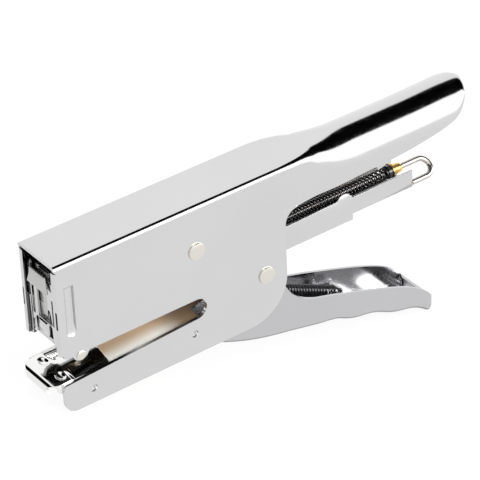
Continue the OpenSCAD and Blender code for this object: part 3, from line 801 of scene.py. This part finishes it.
def anvil():
    """The jaw's plate: rolled nose, two forming pockets and sloping shoulders."""
    x0, x1, half, nose_r, rise = -3.7, 18.6, 8.6, 1.9, 0.6
    pocket_x, pocket_y, pocket_l, pocket_w, pocket_d = 2.2, 4.7, 1.5, 2.3, 0.75
    verts, faces = [], []
    nx, ny = 70, 64
    nose = [(x0 + 0.25, -3.6), (x0, -2.9), (x0, -nose_r)]
    for a in range(12, 91, 13):
        c, q = math.cos(math.radians(a)), math.sin(math.radians(a))
        nose.append((x0 + nose_r - nose_r * c, -nose_r + nose_r * q))
    run = [(x0 + nose_r + (x1 - x0 - nose_r) * i / nx, 0.0) for i in range(1, nx + 1)]
    line = nose + run
    for x, drop in line:
        w = half
        if x < x0 + 4:
            u = (x0 + 4 - x) / 4
            w = half - 0.3 * u - 3.0 * max(0.0, u) ** 3.5
        for j in range(ny + 1):
            y = w * (2 * j / ny - 1)
            z = jaw_top(max(x, x0 + 1.5)) + rise + drop
            z -= smoothstep(3.6, 6.5, x) * 0.27 * max(0.0, abs(y) - 1.2) ** 1.08
            for s in (-1, 1):
                e = ((x - pocket_x) / pocket_l) ** 2 + ((y - s * pocket_y) / pocket_w) ** 2
                if e < 1:
                    z -= pocket_d * (1 - e) ** 0.7
            verts.append((x, y, z))
    m = ny + 1
    for i in range(len(line) - 1):
        for j in range(ny):
            faces.append((i * m + j, i * m + j + 1, (i + 1) * m + j + 1, (i + 1) * m + j))
    ob = mesh_piece("anvil_top", verts, faces, "anvil_plate", 60)
    add_shell(ob, 0.9)
    add_bevel(ob, 0.2, 2, 50)
    bake(ob, 60)
    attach(ob, BODY["anvil_plate"])
    # its sides, folded down inside the cheeks and left proud in front of them
    side = [(-1.2, 8.6), (0.6, 7.0), (6, 4.4), (x1, 4.4), (x1, jaw_top(x1) - 1.5), (5, jaw_top(5) - 0.6),
            (1, jaw_top(1) + 0.1), (-1.2, jaw_top(-1.2) + 0.2)]
    for s in (-1, 1):
        prism("anvil_side", "anvil_plate", side, [], "Y", s * half, s * (half - 1.1), 0.15)


def front():
    """Cover plate with claws and slots, its pressed rib, and the driver's hat above it."""
    claw = [(-2.7, 30.3), (-2.7, 46), (-6.5, 46), (-6.5, 23.6), (-5.4, 23.2), (-4.6, 24.2)]
    claw += [(-3.5 + 0.95 * math.cos(math.radians(a)), 28.6 + 1.3 * math.sin(math.radians(a)))
             for a in range(180, -1, -20)]
    claw += [(-2.5, 26.6), (-2.0, 25.2), (-1.2, 25.0)]
    outline = claw + [(-y, z) for y, z in claw[::-1]]
    slots = [
        [(4.3, 30.4), (5.7, 30.4), (5.7, 40.0), (4.3, 40.0)],
        [(-5.7, 30.4), (-5.0, 30.4), (-5.0, 40.0), (-5.7, 40.0)],
        arc(-3.4, 34.9, 0.55, 0, 360 * 13 / 14, 13),
    ]
    prism("cover_plate", "front_plate", outline, slots, "X", 1.0, 1.8, 0.12)
    base = [(-2.5, 26.0), (2.5, 26.0), (2.5, 30.1), (-2.5, 30.1)]
    mid = [(-2.1, 26.6), (2.1, 26.6), (2.1, 29.7), (-2.1, 29.7)]
    top = [(-1.3, 27.6), (1.3, 27.6), (1.3, 29.2), (-1.3, 29.2)]
    raised("cover_rib", "front_plate", [(1.05, base), (0.6, mid), (0.4, top)], 0.15)
    for s in (-1, 1):
        ear = [(1.0, 21.6), (2.6, 21.6), (2.6, 36), (1.0, 36)]
        prism("cover_ear", "front_plate", ear, [], "Y", s * 6.6, s * 7.4, 0.1)
    low = [(-5.2, 42.6), (5.2, 42.6), (4.2, 48.2), (-4.2, 48.2)]
    crown = [(-5.0, 42.9), (5.0, 42.9), (3.4, 46.4), (-3.4, 46.4)]
    raised("driver_hat", "driver_head", [(0.25, low), (-0.1, low), (-0.8, crown)], 0.18)
    neck = [(-2.4, 46.6), (2.4, 46.6), (2.4, 47.7), (-2.4, 47.7)]
    raised("driver_neck", "driver_head", [(2.5, neck), (0.0, neck)], 0.1)
    stem = [(-2.5, 29.7), (2.5, 29.7), (2.5, 47.6), (-2.5, 47.6)]
    raised("driver_stem", "driver_blade", [(2.5, stem), (1.95, stem)], 0.08)
    soften("driver_head")
    soften("driver_blade")


def bead_shadow_lines():
    """Painted shadow: a thin dark strip laid on each cheek along the bead's upper end and its front edge, standing
    for the shade line at the bead's rim.
    """
    x0, x1 = BEAD_X - BEAD_W / 2, BEAD_X + BEAD_W / 2
    line = [(x0 - 0.14, 46.3), (x0 - 0.14, 29.4), (x0 + 0.1, 29.4), (x0 + 0.14, 45.7)]
    line += [(x1 - 0.5, 45.9), (x1 - 0.5, 46.3)]
    for s in (-1, 1):
        ob = prism("bead_shadow_line", "frame", line, [], "Y", s * BODY_Y, s * (BODY_Y + 0.015), 0)
        # the strip's duller, darker steel is a painted shadow line
        ob.data.materials[0] = MAT["inner_steel"]


def pins():
    """Low riveted heads: a short wall and a gently domed disc."""
    for name, node, cx, cz, r, shank, h in (
        ("lever_head", "lever_rivet", LEVER_X, LEVER_Z, 2.95, 2.2, 0.86),
        ("handle_head", "handle_rivet", HINGE_X, HINGE_Z, 2.95, 2.2, 0.86),
        ("stud_head", "guide_studs", LOBE_X, 19.6, 1.65, 1.2, 0.5),
    ):
        dome = [(r - 0.05, 0), (r, 0.12), (r, 0.42), (r - 0.12, 0.68), (r - 0.4, 0.82),
                (r * 0.6, 0.95), (r * 0.3, 1), (0.001, 1)]
        prof = [(shank, BODY_Y - 1.3), (shank, BODY_Y)] + [(q, BODY_Y + h * u) for q, u in dome]
        ridden(name, lathe_y(cx, cz, prof), node, 35)
        if node != "guide_studs":
            ridden(name + "_shank", tube([(cx, -9.7, cz), (cx, 9.7, cz)], shank, 32), node, 35)


def staples():
    """The strip: separate wires lying side by side."""
    verts, faces = [], []
    half, wire, low, top = 6.45, 0.5, 22.7, 29.1
    first, pitch, count, corner = 2.62, 0.5, 52, 0.12
    ring = [(-half, low), (-half + wire, low), (-half + wire, top - wire), (half - wire, top - wire),
            (half - wire, low), (half, low), (half, top - corner), (half - corner, top),
            (corner - half, top), (-half, top - corner)]
    m = len(ring)
    for i in range(count):
        x = first + pitch * i
        base = len(verts)
        for dx, ins in ((0.0, 0.09), (0.09, 0.0), (0.39, 0.0), (0.48, 0.09)):
            for y, z in ring:
                grow = 1 - ins / half
                verts.append((x + dx, y * grow, z - (ins if z > top - 0.3 else 0)))
        for j in range(3):
            a, b = base + j * m, base + (j + 1) * m
            for k in range(m):
                q = (k + 1) % m
                faces.append((a + k, a + q, b + q, b + k))
        faces.append(tuple(base + k for k in range(m))[::-1])
        faces.append(tuple(base + 3 * m + k for k in range(m)))
    ridden("staple_wires", (verts, faces), "staple_strip", 30)


def level(v):
    """The opposite of place(): X and Z in the level frame."""
    dx, dz = (v.x - pivot.x) * 1000, (v.z - pivot.z) * 1000
    return HINGE_X + dx * cos_t + dz * sin_t, HINGE_Z - dx * sin_t + dz * cos_t


def lean_walls(bm):
    """Bevels the channel walls' outer upper edge behind the cheeks."""
    for co, no in ((place(0, 0, 28.6), turn(0, 0, 1)), (place(84.5, 0, 0), turn(1, 0, 0))):
        bmesh.ops.bisect_plane(
            bm, geom=bm.verts[:] + bm.edges[:] + bm.faces[:], plane_co=co, plane_no=no
        )
    for v in bm.verts:
        x, z = level(v.co)
        if x > 84.6 and z > 28.7 and abs(v.co.y) > 0.0072:
            v.co.y -= math.copysign(0.0007 * min(1, (z - 28.6) / 1.4), v.co.y)


body_shell()
# painted shadow lines along the beads
bead_shadow_lines()
lower_handle()
wires()
anvil()
front()
pins()
staples()
soften("magazine_channel", 0.1, shape=lean_walls)
for node in sorted(set(frame["nodes"]) - made):
    soften(node)

# ----------------------------------------------------------- floor, light
floor_me = bpy.data.meshes.new("floor")
floor_me.from_pydata([(-3, -3, 0), (3, -3, 0), (3, 3, 0), (-3, 3, 0)], [], [(0, 1, 2, 3)])
floor = bpy.data.objects.new("floor", floor_me)
bpy.context.scene.collection.objects.link(floor)
fm = bpy.data.materials.new("pale_floor")
fm.use_nodes = True
fb = fm.node_tree.nodes["Principled BSDF"]
fb.inputs["Base Color"].default_value = (0.06, 0.06, 0.06, 1)
fb.inputs["Roughness"].default_value = 0.9
fb.inputs["Specular IOR Level"].default_value = 0.1
fb.inputs["Emission Color"].default_value = (1, 1, 1, 1)
fb.inputs["Emission Strength"].default_value = 0.93
floor_me.materials.append(fm)


def key_light():
    """A wide soft light straight above, which the plating doesn't mirror."""
    li = bpy.data.lights.new("key", "AREA")
    li.shape = "RECTANGLE"
    li.size, li.size_y = 2.2, 2.2
    li.energy = 20
    ob = bpy.data.objects.new("key", li)
    ob.location = (0.1, -0.1, 1.6)
    ob.rotation_euler = (-ob.location).to_track_quat("-Z", "Y").to_euler()
    bpy.context.scene.collection.objects.link(ob)
    ob.visible_glossy = False


def studio_world():
    """What the plating mirrors: a bright band and a black card overhead, and a low dark card."""
    w = bpy.data.worlds.new("studio")
    bpy.context.scene.world = w
    w.use_nodes = True
    tree = w.node_tree
    n, l = tree.nodes, tree.links
    x, y, z = (component(tree, "Generated", axis) for axis in "XYZ")
    neg = n.new("ShaderNodeMath")
    neg.operation = "MULTIPLY"
    neg.inputs[1].default_value = -1
    l.new(y, neg.inputs[0])
    height = n.new("ShaderNodeMath")
    height.operation = "ARCTAN2"
    l.new(z, height.inputs[0])
    l.new(neg.outputs[0], height.inputs[1])
    bands = n.new("ShaderNodeValToRGB")
    l.new(fade(tree, height.outputs[0], -math.pi, math.pi), bands.inputs["Fac"])
    # brightness at each angle above the near side's horizon, in degrees
    stops = [(-180, 1.0), (-4, 1.0), (4, 1.6), (22, 1.6), (24, 7.0), (42, 7.0), (44, 1.6),
             (60, 1.6), (63, 0.0), (118, 0.0), (122, 1.14), (180, 1.14)]
    cr = bands.color_ramp
    for i, (angle, v) in enumerate(stops):
        at = (angle + 180) / 360
        ends = {0: cr.elements[0], len(stops) - 1: cr.elements[-1]}
        e = ends.get(i) or cr.elements.new(at)
        e.position, e.color = at, (v, v, v, 1)
    # the bands reach only part of the way along the tool
    lit = layer(tree, fade(tree, x, -0.18, -0.24), bands.outputs["Color"], (1.14, 1.14, 1.14, 1))
    # a low dark card beyond the far front corner
    card = times(tree, fade(tree, x, -0.30, -0.36), fade(tree, y, 0.30, 0.36))
    card = times(tree, card, fade(tree, z, 0.0, 0.03))
    card = times(tree, card, fade(tree, z, 0.78, 0.70))
    l.new(layer(tree, card, lit, (0, 0, 0, 1)), n["Background"].inputs["Color"])
    n["Background"].inputs["Strength"].default_value = 1.0


key_light()
studio_world()

# ----------------------------------------------------------------- camera
# The viewing angle is measured in the level frame and stood up with the tool.
AZ, EL, ROLL = math.radians(-36.19), math.radians(33.91), math.radians(-2.03)
away = turn(math.sin(AZ) * math.cos(EL), -math.cos(AZ) * math.cos(EL), math.sin(EL))
right = turn(math.cos(AZ), math.sin(AZ), 0)
up = away.cross(right)
r2 = right * math.cos(ROLL) + up * math.sin(ROLL)
u2 = -right * math.sin(ROLL) + up * math.cos(ROLL)
target, distance = place(83.4, 0, 31.3), 0.888
cam = bpy.data.cameras.new("camera")
cam.sensor_width = 36
cam.lens = 211.3
cam.shift_x = -0.0445
cam.shift_y = -0.0441
cam.clip_start = 0.05
cam_ob = bpy.data.objects.new("camera", cam)
m = Matrix((r2, u2, away)).transposed().to_4x4()
m.translation = target + away * distance
cam_ob.matrix_world = m
bpy.context.scene.collection.objects.link(cam_ob)
bpy.context.scene.camera = cam_ob
bpy.context.scene.view_settings.view_transform = "Standard"
